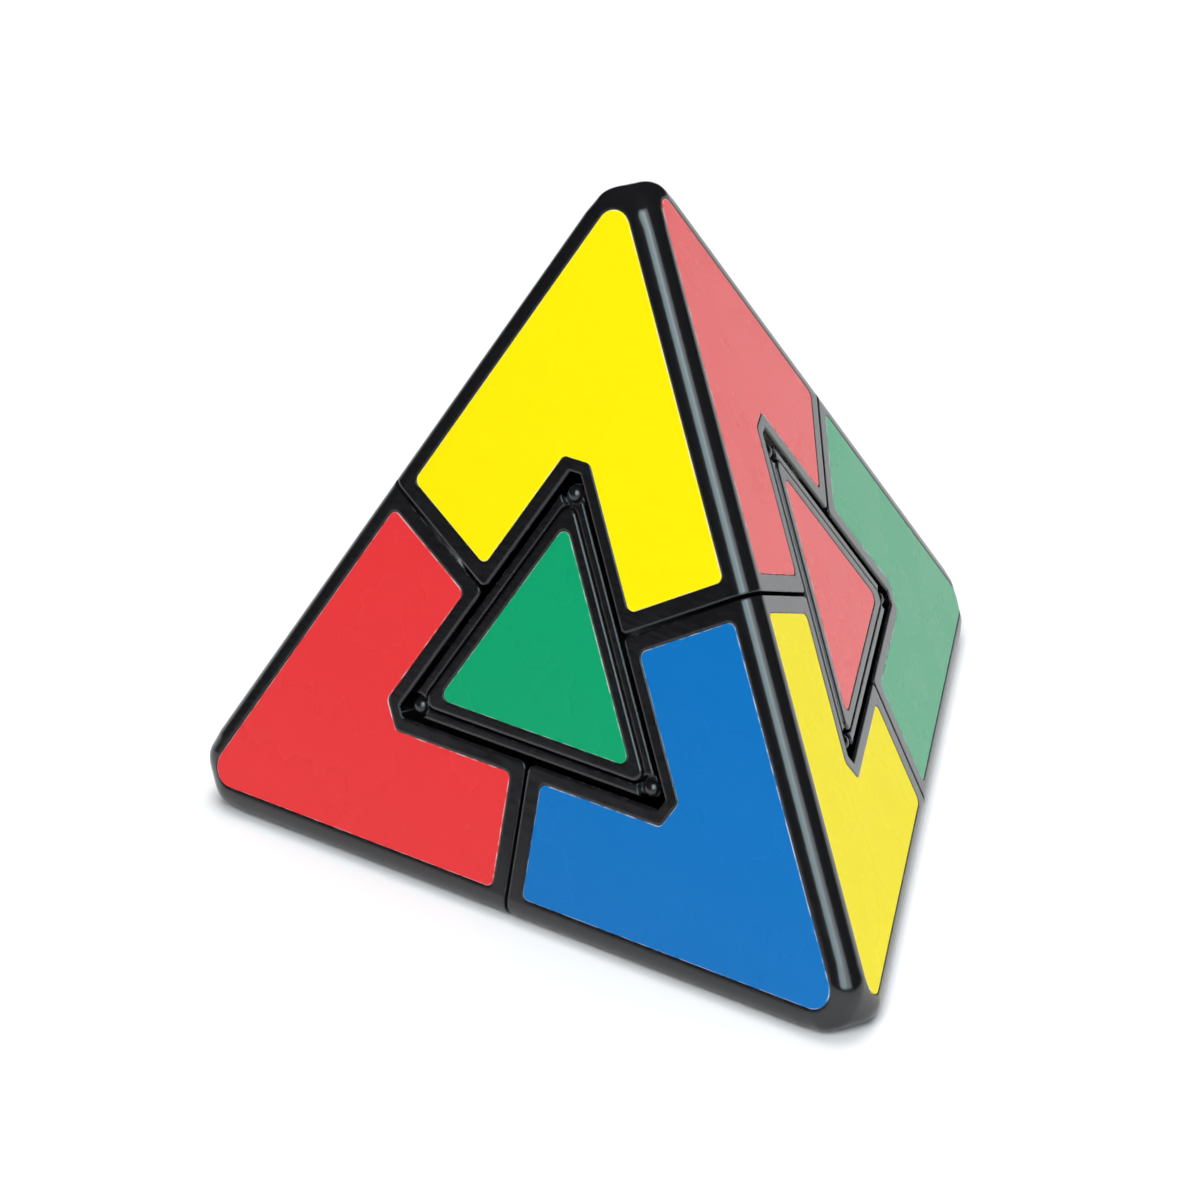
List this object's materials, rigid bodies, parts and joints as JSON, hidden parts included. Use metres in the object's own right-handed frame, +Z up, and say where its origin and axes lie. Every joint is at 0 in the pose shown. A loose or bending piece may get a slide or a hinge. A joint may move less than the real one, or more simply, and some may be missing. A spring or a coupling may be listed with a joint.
{
  "type": "pyramid twisty puzzle",
  "caption": "Pyramid-shaped twisty puzzle: corners that turn about the axes of a tetrahedron, centre pieces on each face and coloured stickers on black plastic.",
  "frame": {"origin": "middle of the face the puzzle rests on, in the plane it rests on", "axes": "+Z up through the top corner, -Y towards the front face, +X towards the front right corner"},
  "size_m": [0.0898, 0.0796, 0.0746],
  "materials": {
    "black_plastic": "gloss",
    "inner_plastic": "satin",
    "core_plastic": "satin",
    "steel": "zinc plated",
    "spring_steel": "bright",
    "sticker_yellow": "semi-gloss vinyl",
    "sticker_red": "semi-gloss vinyl",
    "sticker_blue": "semi-gloss vinyl",
    "sticker_green": "semi-gloss vinyl"
  },
  "bodies": {
    "core": {"core": "core_plastic", "screws": "steel"},
    "carrier_top": {"washer_top": "steel", "spring_top": "spring_steel"},
    "corner_top": {"corner_shell_top": "black_plastic", "corner_base_top": "inner_plastic", "sticker_top_right": "sticker_red", "sticker_top_left": "sticker_blue", "sticker_top_front": "sticker_yellow"},
    "centre_bottom": {"centre_cap_bottom": "black_plastic", "centre_foot_bottom": "black_plastic", "centre_sticker_bottom": "sticker_blue"},
    "carrier_left": {"washer_left": "steel", "spring_left": "spring_steel"},
    "corner_left": {"corner_shell_left": "black_plastic", "corner_base_left": "inner_plastic", "sticker_left_bottom": "sticker_blue", "sticker_left_left": "sticker_green", "sticker_left_front": "sticker_red"},
    "centre_right": {"centre_cap_right": "black_plastic", "centre_foot_right": "black_plastic", "centre_sticker_right": "sticker_red"},
    "carrier_right": {"washer_right": "steel", "spring_right": "spring_steel"},
    "corner_right": {"corner_shell_right": "black_plastic", "corner_base_right": "inner_plastic", "sticker_right_bottom": "sticker_green", "sticker_right_right": "sticker_yellow", "sticker_right_front": "sticker_blue"},
    "centre_left": {"centre_cap_left": "black_plastic", "centre_foot_left": "black_plastic", "centre_sticker_left": "sticker_yellow"},
    "carrier_back": {"washer_back": "steel", "spring_back": "spring_steel"},
    "corner_back": {"corner_shell_back": "black_plastic", "corner_base_back": "inner_plastic", "sticker_back_bottom": "sticker_red", "sticker_back_right": "sticker_green", "sticker_back_left": "sticker_yellow"},
    "centre_front": {"centre_cap_front": "black_plastic", "centre_foot_front": "black_plastic", "centre_sticker_front": "sticker_green"},
    "wing_top_left": {"wing_top_left": "inner_plastic"},
    "wing_top_right": {"wing_top_right": "inner_plastic"},
    "wing_top_back": {"wing_top_back": "inner_plastic"},
    "wing_left_right": {"wing_left_right": "inner_plastic"},
    "wing_left_back": {"wing_left_back": "inner_plastic"},
    "wing_right_back": {"wing_right_back": "inner_plastic"}
  },
  "joints": [
    {"name": "turn_top", "type": "hinge", "parent": "core", "child": "carrier_top", "pos_m": [0, 0, 0.02041], "axis": [0, 0, 1], "range_deg": [0, 120]},
    {"name": "turn_left", "type": "hinge", "parent": "core", "child": "carrier_left", "pos_m": [0, 0, 0.02041], "axis": [-0.8165, -0.4714, -0.3333], "range_deg": [0, 120]},
    {"name": "turn_right", "type": "hinge", "parent": "core", "child": "carrier_right", "pos_m": [0, 0, 0.02041], "axis": [0.8165, -0.4714, -0.3333], "range_deg": [0, 120]},
    {"name": "turn_back", "type": "hinge", "parent": "core", "child": "carrier_back", "pos_m": [0, 0, 0.02041], "axis": [0, 0.9428, -0.3333], "range_deg": [0, 120]},
    {"name": "lift_top", "type": "slide", "parent": "carrier_top", "child": "corner_top", "axis": [0, 0, 1], "range_m": [0, 0.0005], "stiffness_N_per_m": 900, "springref_m": -0.003, "deforming": ["spring_top"]},
    {"name": "lift_left", "type": "slide", "parent": "carrier_left", "child": "corner_left", "axis": [-0.8165, -0.4714, -0.3333], "range_m": [0, 0.0005], "stiffness_N_per_m": 900, "springref_m": -0.003, "deforming": ["spring_left"]},
    {"name": "lift_right", "type": "slide", "parent": "carrier_right", "child": "corner_right", "axis": [0.8165, -0.4714, -0.3333], "range_m": [0, 0.0005], "stiffness_N_per_m": 900, "springref_m": -0.003, "deforming": ["spring_right"]},
    {"name": "lift_back", "type": "slide", "parent": "carrier_back", "child": "corner_back", "axis": [0, 0.9428, -0.3333], "range_m": [0, 0.0005], "stiffness_N_per_m": 900, "springref_m": -0.003, "deforming": ["spring_back"]},
    {"name": "wing_top_left_turn", "type": "hinge", "parent": "carrier_top", "child": "wing_top_left", "pos_m": [0, 0, 0.02041], "axis": [-0.8165, -0.4714, -0.3333], "range_deg": [0, 120]},
    {"name": "wing_top_right_turn", "type": "hinge", "parent": "carrier_top", "child": "wing_top_right", "pos_m": [0, 0, 0.02041], "axis": [0.8165, -0.4714, -0.3333], "range_deg": [0, 120]},
    {"name": "wing_top_back_turn", "type": "hinge", "parent": "carrier_top", "child": "wing_top_back", "pos_m": [0, 0, 0.02041], "axis": [0, 0.9428, -0.3333], "range_deg": [0, 120]},
    {"name": "wing_left_right_turn", "type": "hinge", "parent": "carrier_left", "child": "wing_left_right", "pos_m": [0, 0, 0.02041], "axis": [0.8165, -0.4714, -0.3333], "range_deg": [0, 120]},
    {"name": "wing_left_back_turn", "type": "hinge", "parent": "carrier_back", "child": "wing_left_back", "pos_m": [0, 0, 0.02041], "axis": [-0.8165, -0.4714, -0.3333], "range_deg": [0, 120]},
    {"name": "wing_right_back_turn", "type": "hinge", "parent": "carrier_right", "child": "wing_right_back", "pos_m": [0, 0, 0.02041], "axis": [0, 0.9428, -0.3333], "range_deg": [0, 120]},
    {"name": "centre_bottom_turn", "type": "hinge", "parent": "wing_right_back", "child": "centre_bottom", "pos_m": [0, 0, 0.02041], "axis": [-0.8165, -0.4714, -0.3333], "range_deg": [0, 120]},
    {"name": "centre_right_turn", "type": "hinge", "parent": "wing_right_back", "child": "centre_right", "pos_m": [0, 0, 0.02041], "axis": [0, 0, 1], "range_deg": [0, 120]},
    {"name": "centre_left_turn", "type": "hinge", "parent": "wing_left_back", "child": "centre_left", "pos_m": [0, 0, 0.02041], "axis": [0, 0, 1], "range_deg": [0, 120]},
    {"name": "centre_front_turn", "type": "hinge", "parent": "wing_left_right", "child": "centre_front", "pos_m": [0, 0, 0.02041], "axis": [0, 0, 1], "range_deg": [0, 120]}
  ],
  "couplings": [
    {"joint": "wing_top_left_turn", "follows": "turn_left", "ratio": 1},
    {"joint": "wing_top_right_turn", "follows": "turn_right", "ratio": 1},
    {"joint": "wing_top_back_turn", "follows": "turn_back", "ratio": 1},
    {"joint": "wing_left_right_turn", "follows": "turn_right", "ratio": 1},
    {"joint": "wing_left_back_turn", "follows": "turn_left", "ratio": 1},
    {"joint": "wing_right_back_turn", "follows": "turn_back", "ratio": 1},
    {"joint": "centre_bottom_turn", "follows": "turn_left", "ratio": 1},
    {"joint": "centre_right_turn", "follows": "turn_top", "ratio": 1},
    {"joint": "centre_left_turn", "follows": "turn_top", "ratio": 1},
    {"joint": "centre_front_turn", "follows": "turn_top", "ratio": 1}
  ]
}
